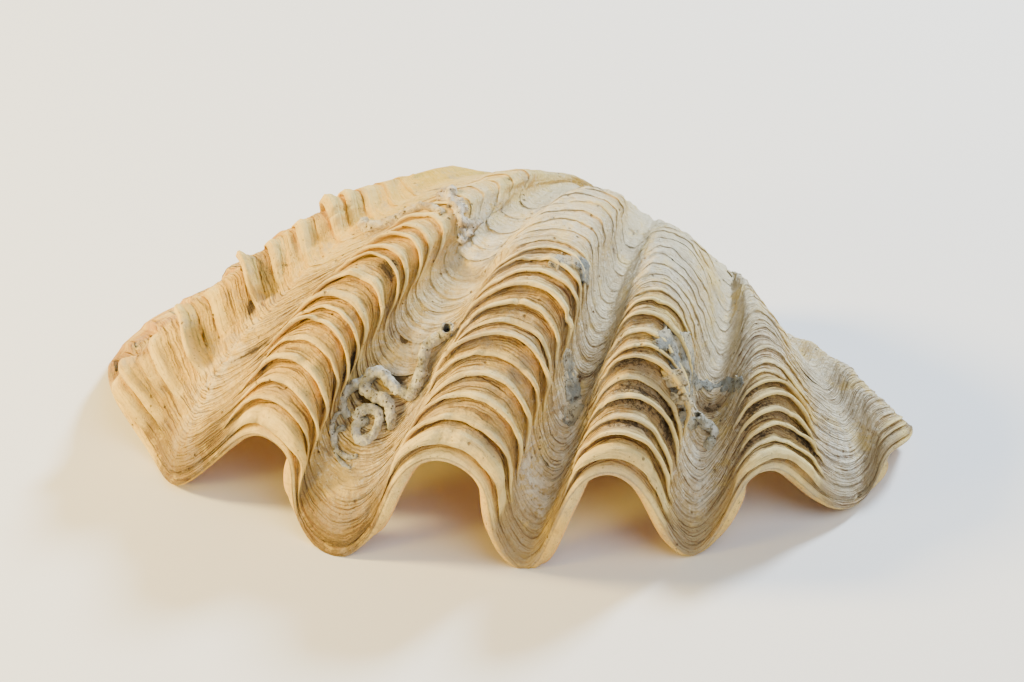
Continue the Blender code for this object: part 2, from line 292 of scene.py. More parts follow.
# One ledge from its undercut to the next: place in the period, height, undercut,
# and how much of the surface is groove and how much is lip.
LEDGE = np.array([
    (0.00, 0.00, 1.00, 1.00, 0.0),
    (0.00, 0.30, 0.75, 0.90, 0.1),
    (-0.03, 0.66, 0.12, 0.40, 0.7),
    (-0.03, 0.90, 0.00, 0.00, 1.0),
    (0.05, 1.06, 0.00, 0.00, 1.0),
    (0.15, 1.05, 0.00, 0.00, 1.0),
    (0.25, 0.84, 0.00, 0.10, 0.8),
    (0.33, 0.56, 0.00, 0.45, 0.3),
    (0.46, 0.50, 0.00, 0.50, 0.1),
    (0.55, 0.34, 0.00, 0.80, 0.0),
    (0.69, 0.32, 0.00, 0.65, 0.0),
    (0.82, 0.14, 0.00, 0.90, 0.0),
])
LEDGE_PLAIN = LEDGE[[0, 2, 3, 4, 6, 7, 9, 11]]
PLAIN_FROM = 15
# How old each rib was when its ledges began to stand out.
SOFT_FROM = np.array([0.60, 0.42, 0.33, 0.27, 0.21, 0.10])
# The left rib broke off many of its ledges: how much of each is left.
LEFT_RIB = np.array([1.3, 1.9, 0.50, 2.2, 0.15, 1.2, 0.05, 0.5, 0.05, 2.1,
                     0.1, 1.9, 0.1, 1.9, 0.2, 1.6, 0.9, 0.6, 0.4, 0.3])


def ripple(u, seed, waves):
    """A smooth random line from -1 to 1, with so many waves from end to end."""
    knots = np.random.default_rng(seed).uniform(-1, 1, waves + 2)
    at = np.clip(u, 0, 1) * waves
    k = np.floor(at).astype(int)
    t = at - k
    t = t * t * (3 - 2 * t)
    return knots[k] * (1 - t) + knots[k + 1] * t


def mottle(u, age, seed, across, along):
    """Smooth random bumps from -1 to 1 over the margin and the ages."""
    knots = np.random.default_rng(seed).uniform(-1, 1, (across + 2, along + 2))
    a = np.clip(u, 0, 1) * across
    b = np.clip(age / OLDEST, 0, 1) * along
    i = np.floor(a).astype(int)
    j = np.floor(b).astype(int)
    s = a - i
    t = b - j
    s = s * s * (3 - 2 * s)
    t = t * t * (3 - 2 * t)
    low = knots[i, j] * (1 - s) + knots[i + 1, j] * s
    high = knots[i, j + 1] * (1 - s) + knots[i + 1, j + 1] * s
    return low * (1 - t) + high * t


def rise(u, left, right):
    """0 in the valleys, 1 on the crests, with a start and an end for each flank."""
    at = np.concatenate([[0], LINE_AT, [1]])
    high = np.array([0] + [int(i in CRESTS) for i in LINES] + [0])
    k = np.clip(np.searchsorted(at, u) - 1, 0, len(at) - 2)
    t = (u - at[k]) / (at[k + 1] - at[k])
    up = high[k + 1] > high[k]
    return np.where(up, smooth(*left, t), smooth(*right, 1 - t)), up, t


def flank(u):
    """How far a ledge stands out: fully on a crest and halfway down its right flank."""
    strength, up, t = rise(u, (0.36, 0.92), (0.26, 0.60))
    return strength * np.where(up, 1, 1 + 0.30 * smooth(0.05, 0.35, t))


def right_flank(u):
    """1 on the right flank of a rib, where its scales end as yellow crescents."""
    _, up, t = rise(u, (0, 1), (0, 1))
    return np.where(up, 0, smooth(0.1, 0.4, t) * smooth(0.85, 0.6, t))


RIB_STRENGTH = np.array([1.3, 1.15, 1.0, 1.08, 1.0, 0.34])
RIB_AT = LINE_AT[[LINES.index(c) for c in CRESTS]]
# A smooth lobe overhangs the second valley: place along the margin, age of its edge.
LOBE_EDGE = np.array([(0.24, 0.440), (0.26, 0.475), (0.28, 0.512), (0.30, 0.525),
                      (0.32, 0.510), (0.34, 0.478), (0.37, 0.430), (0.41, 0.395)])


def lobe(u, age):
    """1 on the smooth lobe, 0 off it, with a sharp edge on its young side."""
    edge = spline(LOBE_EDGE[:, 0], LOBE_EDGE[:, 1:], np.clip(u, 0.24, 0.41))[:, 0]
    sides = smooth(0.245, 0.268, u) * smooth(0.415, 0.380, u)
    return sides * smooth(edge, edge + 0.008, age) * smooth(edge + 0.26, edge + 0.08, age)


def ends(u):
    return smooth(0, 0.03, u) * smooth(0, 0.03, 1 - u)


def on_left_rib(u):
    return smooth(0.125, 0.085, u)


def standing(u, age, k):
    """Strength of ledge number k along the margin, 0 to about 1.2."""
    rib = np.interp(u, RIB_AT, RIB_STRENGTH)
    left = on_left_rib(u)
    scale = np.random.default_rng(450 + k)
    begin, end = scale.uniform(0.020, 0.040), scale.uniform(0.092, 0.122)
    scale = smooth(begin, begin + 0.012, u) * smooth(end, end - 0.050, u)
    rib = rib * (1 - left + left * LEFT_RIB[k] * scale)
    vary = 1 + 0.50 * ripple(u, 100 + k, 16) + 0.14 * ripple(u, 200 + k, 90)
    strength = VALLEY_LIFT * (1 + ripple(u, 300 + k, 40))
    strength = strength + (1 - VALLEY_LIFT) * flank(u) * rib * vary
    dice = np.random.default_rng(400 + k)
    strength = strength * (0.75 if k == 0 else dice.uniform(0.62, 1.15))
    strength = strength * (1 - (0.35 if k < 2 else 0) * right_flank(u))
    for _ in range(CHIPS):
        chip = dice.uniform(0.02, 0.98)
        width = dice.uniform(0.0012, 0.0040)
        depth = dice.uniform(0.1, 0.55)
        strength = strength * (1 - depth * np.exp(-(((u - chip) / width) ** 2)))
    soft = np.interp(u, RIB_AT, SOFT_FROM)
    strength = strength * (1 - 0.80 * smooth(soft - 0.03, soft + 0.12, age))
    strength = strength * (1 - 0.9 * lobe(u, age + 0.02 + np.zeros(len(u))))
    return strength * smooth(0.016, 0.05, u) * smooth(0.004, 0.045, 1 - u)


def carried(u, k):
    """How far the back of the next younger scale runs on over ledge k, on the left rib."""
    if not 0 < k < len(STOPS):
        return np.zeros(len(u))
    more = standing(u, STOPS[k - 1], k - 1) - standing(u, STOPS[k], k)
    return CARRIED_BACK * on_left_rib(u) * np.clip(more, 0, 1.6)


def ledge_height(age):
    return LEDGE_LIFT * np.exp(-0.7 * age) * (1 - smooth(0.66, 0.86, age))


def wander(u, k):
    """How far ledge k runs ahead of its stop or behind it, as age."""
    far = 0.0058 if k > 1 else 0.003
    return far * ripple(u, 500 + k, 18) + 0.0011 * ripple(u, 600 + k, 150)


# %% [markdown]
# ## Rows of the grid
# The shell is one flat grid that is bent into shape. From one edge to the other its rows
# run from the top of the hollow, down the inside to the margin, round the rim, over a
# narrow band, and up the outside over every ledge to the beak. The worn old ledges make
# do with fewer rows. This cell lists the rows: which side they are on, their age, and
# their place in a ledge.

# %% Rows
LIP_THICKNESS = 3.0
BODY_THICKNESS = 6.0
RIB_HALF_HEIGHT = 17.0
HOLLOW_AGE = 0.58
HOLLOW_CENTRE = np.array([0.0, -38.0, -5.0])
INSIDE_ROWS = 9
OLD_ROWS = 11
FIRST_BREADTH = 0.34
LEFT_BREADTH = 0.42
RIM = [(0.80, 0.000), (0.50, -0.0055), (0.20, -0.0040)]
# The band between the rim and the last ledge: share of its width, height, groove.
BAND = [(0.0, 0.0, 0.0), (0.30, 0.20, 0.1), (0.55, 0.16, 0.5), (0.85, -0.1, 1.0)]
COLUMNS = 366


def list_rows():
    rows = [("inside", age) for age in np.linspace(HOLLOW_AGE, 0, INSIDE_ROWS)]
    rows += [("rim", depth, age) for depth, age in RIM]
    rows += [("band", *row) for row in BAND]
    for k in range(len(STOPS)):
        rows += [("ledge", k, *row) for row in (LEDGE if k < PLAIN_FROM else LEDGE_PLAIN)]
    old = np.linspace(STOPS[-1] + LAST_LEDGE, OLDEST, OLD_ROWS)
    return rows + [("old", age) for age in old]


rows = list_rows()
print(len(rows), "rows of", COLUMNS + 1, "points")


# %% [markdown]
# ## Bend the grid
# Each row gets its points from the sheet at its own age. The inside lies a wall's
# thickness behind it, the rim turns round between the two, and the outside is raised by
# its ledge and by low swells. A flat grid with as many rows and columns takes the
# places over, so its faces stay in order.

# %% Bend the grid
# Low forms of the outside. A dent in the fourth valley and stepped lobes beside the left
# hinge corner: place along the margin, then age, half widths and height in millimetres.
DENT = (0.735, 0.280, 0.022, 0.034, 2.2)
SHOULDER = (0.006, 0.022, 3.2)
SHOULDER_AGES = np.array([0.060, 0.125, 0.205, 0.300, 0.420, 0.540])
CORNER_DROP = 2.2
LOBE_HEIGHT = 1.5
RIM_PROBE = 0.004


def inside_row(u, age, thick=None):
    body = 0.3 + 0.7 * smooth(0, 0.2, u) * smooth(0, 0.2, 1 - u)
    calm = smooth(0.05, 0.42, age)
    place, normal = sheet(u, age, calm, 1 - calm)
    if thick is None:
        rib = BODY_THICKNESS - LIP_THICKNESS + RIB_HALF_HEIGHT * np.exp(-age)
        thick = LIP_THICKNESS + calm * rib * body
    outward = place - HOLLOW_CENTRE
    outward /= np.linalg.norm(outward, axis=1)[:, None]
    outward = normal * (1 - calm) + outward * calm
    return place - outward * np.asarray(thick + np.zeros(len(u)))[:, None]


def lumps(u, age):
    """Low swells of the outside, in millimetres."""
    swell = 0.55 * mottle(u, age, 21, 34, 22) + 0.32 * mottle(u, age, 22, 90, 60)
    swell = swell + 0.12 * mottle(u, age, 23, 260, 150) + 0.07 * mottle(u, age, 24, 420, 330)
    swell = swell * ends(u)
    at, old, wide, tall, deep = DENT
    dent = deep * np.exp(-(((u - at) / wide) ** 2) - ((age - old) / tall) ** 2)
    corner = smooth(0.05, 0.0, u) * smooth(0.0, 0.05, age) * smooth(0.7, 0.4, age)
    swell = swell + shoulder(u, age) - CORNER_DROP * corner
    return swell + LOBE_HEIGHT * lobe(u, age) - dent


def shoulder(u, age):
    """Stepped lobes beside the left hinge corner, in millimetres."""
    ages = SHOULDER_AGES
    k = np.clip(np.searchsorted(ages, age) - 1, 0, len(ages) - 2)
    t = np.clip((age - ages[k]) / (ages[k + 1] - ages[k]), 0, 1)
    step = smooth(0.0, 0.16, t) * (1 - 0.9 * t) * (age > ages[0]) * (age < ages[-1])
    at, wide, high = SHOULDER
    return high * step * np.exp(-(((u - at) / wide) ** 2))


def ledge_row(u, k, t, high, tuck, groove, lip):
    """Age, lift, groove, lip and standing of one row of ledge k, at t in its period."""
    last = k + 1 == len(STOPS)
    stand = standing(u, STOPS[k], k)
    start = STOPS[k] + wander(u, k)
    end = STOPS[k] + LAST_LEDGE if last else STOPS[k + 1] + wander(u, k + 1)
    breadth = FIRST_BREADTH if k == 0 else 1 - (1 - LEFT_BREADTH) * on_left_rib(u)
    place_in = t**breadth if t > 0 else t
    age = start + place_in * (end - start) + tuck * LEDGE_TUCK * stand * np.exp(-0.4 * start)
    lift = high * ledge_height(start) * stand
    # Uneven layers, and a minor ledge here and there between the great ones.
    seed = 700 + 12 * k + int(10 * t)
    layer = (0.16 - 0.05 * np.clip(stand, 0, 1)) * (0.35 if 0 <= t < 0.3 else 1)
    lift = lift + layer * (ripple(u, seed, 36) + 0.4 * ripple(u, seed + 5000, 140)) * ends(u)
    minor = 0.30 * np.clip(ripple(u, 900 + k, 14), 0, 1) * ((0.4 < t) and (t < 0.5))
    minor = minor + 0.26 * np.clip(ripple(u, 950 + k, 14), 0, 1) * ((0.6 < t) and (t < 0.7))
    lift = lift + minor * np.clip(stand * 1.5, 0.08, 1) * ends(u)
    # On the left rib the back of a scale runs on over the gap behind it.
    onward = carried(u, k + 1) * (t >= 0.05)
    back = onward * np.maximum(0, 1 - 0.35 * place_in - high)
    back = back + carried(u, k) * (0.65 - 0.6 * place_in)
    lift = lift + ledge_height(start) * back
    groove = groove * (1 - np.clip(onward, 0, 1))
    lip = np.maximum(lip, np.clip(onward, 0, 1) * (1 - 0.7 * place_in))
    return age, lift, groove, lip, stand


def outer_row(u, row):
    """Places, age, groove, lip and standing of one row of the outside."""
    lift = groove = lip = stand = np.zeros(len(u))
    if row[0] == "band":
        age = row[1] * (STOPS[0] + wander(u, 0))
        lift, groove = row[2] + lift, row[3] + groove
        lip = 0.9 * (1 - groove)
        stand = 0.12 + 0.45 * flank(u)
    elif row[0] == "ledge":
        age, lift, groove, lip, stand = ledge_row(u, *row[1:])
    else:
        age = row[1] + lift
    place, normal = sheet(u, age, worn(age))
    swell = lumps(u, age) * smooth(0.0, 0.03, age)
    return place + normal * (lift + swell)[:, None], age, groove, lip, stand


def bend_grid(u):
    """Every row of the shell: places in millimetres, and values for the finish."""
    places, values = [], []
    for row in rows:
        nothing = np.zeros(len(u))
        if row[0] == "inside":
            place = inside_row(u, row[1])
            value = (np.full(len(u), row[1]), nothing, nothing, nothing, nothing + 1)
        elif row[0] == "rim":
            place = inside_row(u, 0.0, LIP_THICKNESS * row[1])
            ahead = inside_row(u, -RIM_PROBE, LIP_THICKNESS * row[1])
            place = place + (place - ahead) * row[2] / RIM_PROBE
            value = (nothing, nothing, nothing, nothing, nothing + 0.5)
        else:
            place, age, groove, lip, stand = outer_row(u, row)
            value = (age, groove, lip, stand, nothing)
        place[:, 2] = np.maximum(place[:, 2], 0)
        places.append(place)
        values.append(np.stack(value, axis=1))
    return np.array(places), np.array(values)


def get_places(mesh):
    """The points of a mesh, one row of x, y and z for each."""
    flat = np.empty(len(mesh.vertices) * 3)
    mesh.vertices.foreach_get("co", flat)
    return flat.reshape(-1, 3)


def set_places(mesh, places):
    mesh.vertices.foreach_set("co", places.ravel())


margin_at = np.linspace(0, 1, COLUMNS + 1)
shell_places, shell_values = bend_grid(margin_at)
print("the grid spans", (np.ptp(shell_places.reshape(-1, 3), axis=0)).round(1), "mm")

bpy.ops.object.select_all(action="DESELECT")
bpy.ops.mesh.primitive_grid_add(
    x_subdivisions=COLUMNS, y_subdivisions=len(rows) - 1, size=1.0, location=(0, 0, 0)
)
shell = bpy.context.active_object
shell.name = "clam_shell"
flat = get_places(shell.data)
span = np.ptp(flat, axis=0)
column = np.rint((flat[:, 0] - flat[:, 0].min()) / span[0] * COLUMNS).astype(int)
row_of = np.rint((flat[:, 1] - flat[:, 1].min()) / span[1] * (len(rows) - 1)).astype(int)
set_places(shell.data, (shell_places[row_of, column] - CENTRE) * MM)


# %% [markdown]
# ## Marks for the finish
# The finish follows the growth: fine lines run along the margin, grooves get painted
# shade, lips are pale. So each point of the mesh keeps where along the margin it lies,
# its age, and how much it is groove, lip or inside. The materials read these named
# values, and what is drawn out of the mesh later takes them over.

# %% Named values on the points
def mark(mesh, name, values):
    values = np.asarray(values, float)
    if values.ndim == 1:
        layer = mesh.attributes.new(name, "FLOAT", "POINT")
        layer.data.foreach_set("value", values)
    else:
        layer = mesh.attributes.new(name, "FLOAT_VECTOR", "POINT")
        layer.data.foreach_set("vector", values.ravel())


# Patches of dark dust: place along the margin, age, half widths in both, strength.
SOOT = [
    (0.628, 0.185, 0.026, 0.026, 1.0), (0.636, 0.125, 0.034, 0.036, 1.0),
    (0.672, 0.130, 0.020, 0.060, 1.0), (0.636, 0.075, 0.030, 0.014, 1.0),
    (0.790, 0.183, 0.030, 0.022, 0.8), (0.795, 0.125, 0.034, 0.040, 1.0),
    (0.845, 0.095, 0.024, 0.030, 1.0), (0.790, 0.070, 0.036, 0.020, 1.0),
    (0.088, 0.305, 0.009, 0.020, 1.9), (0.150, 0.222, 0.022, 0.008, 1.8),
    (0.190, 0.117, 0.005, 0.008, 2.2), (0.234, 0.318, 0.014, 0.014, 1.7),
    (0.268, 0.208, 0.010, 0.022, 1.7), (0.303, 0.340, 0.008, 0.010, 1.9),
    (0.316, 0.277, 0.012, 0.016, 2.0), (0.283, 0.685, 0.014, 0.016, 1.6),
    (0.506, 0.592, 0.008, 0.012, 1.4), (0.298, 0.827, 0.012, 0.020, 1.4),
    (0.302, 0.225, 0.014, 0.024, 1.8), (0.845, 0.040, 0.030, 0.012, 0.9),
    (0.735, 0.295, 0.018, 0.020, 1.3), (0.530, 0.300, 0.006, 0.030, 1.3),
]


# Chalky white patches in the valleys, given the same way.
CHALK = [
    (0.514, 0.110, 0.022, 0.030, 1.0), (0.536, 0.090, 0.012, 0.020, 0.9),
    (0.545, 0.190, 0.010, 0.060, 0.7), (0.725, 0.165, 0.018, 0.030, 0.9),
    (0.738, 0.115, 0.014, 0.035, 1.0), (0.290, 0.580, 0.050, 0.060, 0.8),
    (0.318, 0.330, 0.020, 0.080, 0.6), (0.120, 0.200, 0.020, 0.120, 0.6),
    (0.890, 0.150, 0.020, 0.090, 0.8), (0.640, 0.420, 0.200, 0.050, 0.3),
]


def patches_at(u, age, patches):
    """How much of these patches lies at each point, 0 to 1."""
    soot_and_groove_shade = np.zeros(len(u))
    for at, old, wide, tall, strength in patches:
        far = ((u - at) / wide) ** 2 + ((age - old) / tall) ** 2
        soot_and_groove_shade = np.maximum(soot_and_groove_shade, strength * np.exp(-far))
    return soot_and_groove_shade


value = shell_values[row_of, column]
along = margin_at[column]
mark(shell.data, "growth", np.stack([along, value[:, 0], value[:, 3]], axis=1))
mark(shell.data, "groove", value[:, 1])
mark(shell.data, "lip", value[:, 2])
mark(shell.data, "inner", value[:, 4])
mark(shell.data, "side", np.zeros(len(along)))
mark(shell.data, "soot", patches_at(along, value[:, 0], SOOT))
mark(shell.data, "chalk", patches_at(along, value[:, 0], CHALK))
mark(shell.data, "flank", right_flank(along))
mark(shell.data, "border", np.zeros(len(along)))


# %% [markdown]
# ## Side walls and hinge plate
# Behind the beak the real shell has a thick hinge plate, hidden in the photograph, and
# it stands on it. The outer edge of the grid is drawn out in short steps down to the
# table, leaving the sheet in its own direction and landing upright, and the edge of the
# hollow is drawn down to the front of the plate. The two feet are then bridged.

# %% Draw the edges out
HINGE_EDGE = [
    (-98.5, -20.0, 7.0), (-98.0, -8.0, 2.0), (-93.0, 4.0, 0.0), (-80.0, 14.0, 0.0),
    (-55.0, 19.0, 0.0), (-20.0, 19.0, 0.0), (12.0, 14.0, 0.0), (30.0, 4.0, 0.0),
    (45.0, -8.5, 0.0), (64.0, -16.0, 0.0), (84.0, -28.0, 0.0), (95.0, -41.0, 4.5),
]
BEAK_FROM = 12.0
BEAK_TO = 30.0
TURNS = (0.42, 0.58)
HINGE_PLATE = 11.0
RIM_ROW = INSIDE_ROWS + 1


def hinge_edge(at, forward):
    """Points along the back edge, drawn together under the beak, at from 0 to 1."""
    edge = np.array(HINGE_EDGE)
    far = np.concatenate([[0], np.cumsum(np.linalg.norm(np.diff(edge, axis=0), axis=1))])
    beak = np.interp([BEAK_FROM, BEAK_TO], edge[:, 0], far)
    along = np.interp(at, [0, *TURNS, 1], [0, *beak, far[-1]])
    line = spline(far, edge, along)
    run = spline(far, edge, np.minimum(along + 0.5, far[-1]))
    run = (run - spline(far, edge, np.maximum(along - 0.5, 0)))[:, :2]
    run /= np.linalg.norm(run, axis=1)[:, None]
    width = forward * smooth(0, 0.12, at) * smooth(0, 0.25, 1 - at)
    line[:, 0] += run[:, 1] * width
    line[:, 1] -= run[:, 0] * width
    line[:, 2] = np.maximum(line[:, 2], 0)
    return line


def border(last):
    """Grid places (row, column) from the left rim over row last to the right rim."""
    step = 1 if last > RIM_ROW else -1
    up = [(j, 0) for j in range(RIM_ROW, last + step, step)]
    across = [(last, i) for i in range(1, COLUMNS)]
    down = [(j, COLUMNS) for j in range(last, RIM_ROW - step, -step)]
    return up + across + down


def border_at(order, places):
    """0 to 1 along the border: the stretch across lies between the two turns."""
    far = np.concatenate([[0], np.cumsum(np.linalg.norm(np.diff(places, axis=0), axis=1))])
    turn = [n for n, (j, i) in enumerate(order) if j == order[len(order) // 2][0]]
    return np.interp(far, [0, far[turn[0]], far[turn[-1]], far[-1]], [0, *TURNS, 1])


def leaving(order):
    """The direction in which the outside leaves its border."""
    u = np.array([margin_at[i] for j, i in order])
    age = np.array([shell_values[j, i, 0] for j, i in order])
    here = sheet(u, age, worn(age))[0]
    across = np.array([j == len(rows) - 1 for j, i in order])
    older = sheet(u, age + 0.01, worn(age))[0]
    inner = sheet(np.where(u < 0.5, 0.003, 0.997), age, worn(age))[0]
    leave = np.where(across[:, None], older - here, here - inner)
    return leave / np.linalg.norm(leave, axis=1)[:, None]


def evened(at, directions):
    """The same rows, smoothed along the border."""
    even = np.linspace(0, 1, 43)
    calm = np.stack([np.interp(even, at, directions[:, k]) for k in range(3)], axis=1)
    for _ in range(5):
        calm[1:-1] = (calm[:-2] + calm[1:-1] * 2 + calm[2:]) / 4
    calm /= np.linalg.norm(calm, axis=1)[:, None]
    return np.stack([np.interp(at, even, calm[:, k]) for k in range(3)], axis=1)


def get_values(mesh, name):
    found = np.empty(len(mesh.vertices))
    mesh.attributes[name].data.foreach_get("value", found)
    return found


def edge_ends(mesh):
    """The two points of each edge."""
    ends = np.empty(len(mesh.edges) * 2, int)
    mesh.edges.foreach_get("vertices", ends)
    return ends.reshape(-1, 2)


def pick(mesh, points, edges):
    """Select these points and edges, and no face, for the operator that comes next."""
    mesh.polygons.foreach_set("select", np.zeros(len(mesh.polygons), bool))
    mesh.vertices.foreach_set("select", points)
    mesh.edges.foreach_set("select", edges)


@contextmanager
def editing():
    """Edit mode for the lines inside the with block."""
    bpy.ops.object.mode_set(mode="EDIT")
    yield
    bpy.ops.object.mode_set(mode="OBJECT")


def draw_out(obj, vertices, steps, side):
    """Extrude a line of points once for each row of places in steps."""
    mesh = obj.data
    place = np.full(len(mesh.vertices), -1.0)
    place[vertices] = np.arange(len(vertices))
    mesh.attributes["border"].data.foreach_set("value", place)
    a, b = place[edge_ends(mesh)].T
    pick(mesh, place >= 0, (a >= 0) & (b >= 0) & (np.abs(a - b) == 1))
    for n, row in enumerate(steps):
        with editing():
            bpy.ops.mesh.extrude_edges_move()
        chosen = np.empty(len(mesh.vertices), bool)
        mesh.vertices.foreach_get("select", chosen)
        number = np.rint(get_values(mesh, "border")[chosen]).astype(int)
        spots = get_places(mesh)
        spots[chosen] = (row[number] - CENTRE) * MM
        set_places(mesh, spots)
        sides = get_values(mesh, "side")
        sides[chosen] = side * (n + 1) / len(steps)
        mesh.attributes["side"].data.foreach_set("value", sides)
    return np.flatnonzero(chosen)


grid_index = np.empty((len(rows), COLUMNS + 1), int)
grid_index[row_of, column] = np.arange(len(row_of))
only(shell)
with editing():
    bpy.ops.mesh.select_mode(type="EDGE")
feet = []
for last, forward, parts in (
    (len(rows) - 1, 0.0, (0.1, 0.22, 0.36, 0.52, 0.7, 0.86, 1.0)),
    (0, HINGE_PLATE, (0.33, 0.67, 1.0)),
):
    order = border(last)
    top = np.array([shell_places[j, i] for j, i in order])
    at = border_at(order, top)
    foot = hinge_edge(at, forward)
    foot[0], foot[-1] = top[0], top[-1]
    far = np.linalg.norm(foot - top, axis=1)[:, None]
    steps = []
    for t in parts:
        row = top * (2 * t**3 - 3 * t**2 + 1) + foot * (3 * t**2 - 2 * t**3)
        if forward == 0:
            swing = (0.35 + 0.45 * smooth(0.05, 0.42, at))[:, None]
            row += evened(at, leaving(order)) * far * swing * (t**3 - 2 * t**2 + t)
            row[:, 2] -= far[:, 0] * 0.5 * (t**3 - t**2)
        row[:, 2] = np.maximum(row[:, 2], 0)
        steps.append(row)
    corners = np.array([grid_index[j, i] for j, i in order])
    feet.append(draw_out(shell, corners, steps, 1.0 if forward == 0 else 0.4))


# %% [markdown]
# ## The underside
# Both feet now lie on the table. A bridge between them makes the flat underside, points
# that coincide become one, and all faces are turned outwards. The shell is closed then,
# so it rides on the body and stands for the solid.

# %% Bridge the feet and close the shell
foot_points = np.zeros(len(shell.data.vertices), bool)
foot_points[np.concatenate(feet)] = True
loops = shell.data.loops
touching = np.bincount(
    [loops[n].edge_index for face in shell.data.polygons for n in face.loop_indices],
    minlength=len(shell.data.edges),
)
open_edges = (touching == 1) & foot_points[edge_ends(shell.data)].all(axis=1)
pick(shell.data, foot_points, open_edges)
with editing():
    bpy.ops.mesh.bridge_edge_loops()
    bpy.ops.mesh.select_all(action="SELECT")
    bpy.ops.mesh.remove_doubles(threshold=1e-6)
    bpy.ops.mesh.dissolve_degenerate(threshold=1e-7)
    bpy.ops.mesh.normals_make_consistent(inside=False)
bpy.ops.object.shade_smooth()


def report(obj):
    """Print what was made, and how many edges aren't shared by two faces."""
    check = bmesh.new()
    check.from_mesh(obj.data)
    loose = sum(not e.is_manifold for e in check.edges)
    check.free()
    obj.data.calc_loop_triangles()
    print(f"{obj.name}: {len(obj.data.loop_triangles)} triangles, {loose} open edges,",
          "size", [round(d * 1000, 1) for d in obj.dimensions], "mm")


report(shell)
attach(shell, "root")
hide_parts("shell")


# %% [markdown]
# ## What lies on the shell
# Worms and other small animals cemented their homes on the valve and died there. Each
# such piece has to sit on the ledges as they are, so this cell gives the height of the
# outside at any place, either the true ledge or a skin that spans from lip to lip.

# %% The surface under the growths
def skin(u, age, cover):
    """Places and normals on the outside. Cover 1 spans from lip to lip, 0 follows it."""
    k = np.clip(np.searchsorted(STOPS, age) - 1, 0, len(STOPS) - 1)
    start = STOPS[k]
    after = np.append(STOPS, STOPS[-1] + LAST_LEDGE)[k + 1]
    shape = np.interp((age - start) / (after - start), LEDGE[3:, 0], LEDGE[3:, 1])
    stand = np.zeros(len(u))
    for ledge in np.unique(k):
        here = k == ledge
        stand[here] = standing(u[here], STOPS[ledge], ledge)
    high = ledge_height(age) * stand * (shape * (1 - cover) + cover)
    high = high * (age > STOPS[0]) + lumps(u, age) * smooth(0.0, 0.03, age)
    place, normal = sheet(u, age, worn(age))
    return place + normal * high[:, None], normal


def trim_border(obj):
    """Delete loose points and edges, and corners that touch at one point only."""
    check = bmesh.new()
    check.from_mesh(obj.data)
    while True:
        stray = [e for e in check.edges if e.is_wire]
        bmesh.ops.delete(check, geom=stray, context="EDGES")
        bad = [v for v in check.verts
               if not v.link_faces or sum(e.is_boundary for e in v.link_edges) > 2]
        if not bad:
            break
        bmesh.ops.delete(check, geom=bad, context="VERTS")
    check.to_mesh(obj.data)
    check.free()


def apply_modifiers(obj):
    only(obj)
    for modifier in list(obj.modifiers):
        bpy.ops.object.modifier_apply(modifier=modifier.name)


def bumps(points, size, seed):
    """Smooth random bumps from -1 to 1 at these points, each about size across."""
    at = np.asarray(points) / size + 17.3 * seed
    low = np.floor(at)
    part = at - low
    part = part * part * (3 - 2 * part)
    total = np.zeros(len(at))
    for corner in np.ndindex(2, 2, 2):
        weight = np.prod(np.where(corner, part, 1 - part), axis=1)
        dice = np.sin((low + corner) @ np.array([127.1, 311.7, 74.7]) + seed) * 43758.5453
        total += weight * (2 * (dice - np.floor(dice)) - 1)
    return total


def roughen(obj, sizes, seed=0.0):
    """Move each point along its normal by noise: pairs of grain size and depth in mm."""
    spots = get_places(obj.data)
    normals = np.array([point.normal for point in obj.data.vertices])
    deep = sum(depth * bumps(spots / MM, size, seed) for size, depth in sizes)
    set_places(obj.data, spots + normals * deep[:, None] * MM)


def cemented(obj):
    """Smooth-shade a finished growth, let it ride with the shell, and report it."""
    only(obj)
    bpy.ops.object.shade_smooth()
    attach(obj, "root")
    report(obj)


# %% [markdown]
# ## Worm tubes
# Keel worms build round lime tubes about two and a half millimetres thick, with faint
# rings. A curve with a bevel is the natural way to draw one: its points follow the
# surface, given as place along the margin and age, and rise a little at the mouth. The
# curve becomes a mesh, gets a real wall so that the mouth is open, and is roughened.

# %% Worm tubes
TUBE_RADIUS = 1.3
TUBE_WALL = 0.38
LONG_TUBE = [
    (0.381, 0.246), (0.345, 0.322), (0.328, 0.334), (0.332, 0.298), (0.343, 0.249),
    (0.346, 0.225), (0.336, 0.231), (0.318, 0.262), (0.305, 0.274), (0.296, 0.262),
    (0.295, 0.240), (0.305, 0.237), (0.317, 0.238), (0.325, 0.216), (0.330, 0.190),
]
SIDE_LOOP = [(0.298, 0.264), (0.290, 0.234), (0.283, 0.207), (0.285, 0.189), (0.293, 0.184)]
SMALL_COIL = [
    (0.300, 0.196), (0.305, 0.216), (0.315, 0.219), (0.320, 0.192), (0.315, 0.172),
    (0.306, 0.176), (0.304, 0.190), (0.309, 0.199),
]
TOP_RIDGE = [(0.104, 0.598), (0.150, 0.532), (0.172, 0.505), (0.190, 0.490), (0.229, 0.462)]
HOOK = [(0.711, 0.243), (0.726, 0.256), (0.740, 0.237), (0.745, 0.208), (0.735, 0.205)]
THIN_LOOP = [(0.288, 0.182), (0.284, 0.160), (0.291, 0.143), (0.303, 0.139), (0.313, 0.146)]
THIN_ARC = [(0.296, 0.170), (0.291, 0.153), (0.299, 0.132), (0.312, 0.128)]


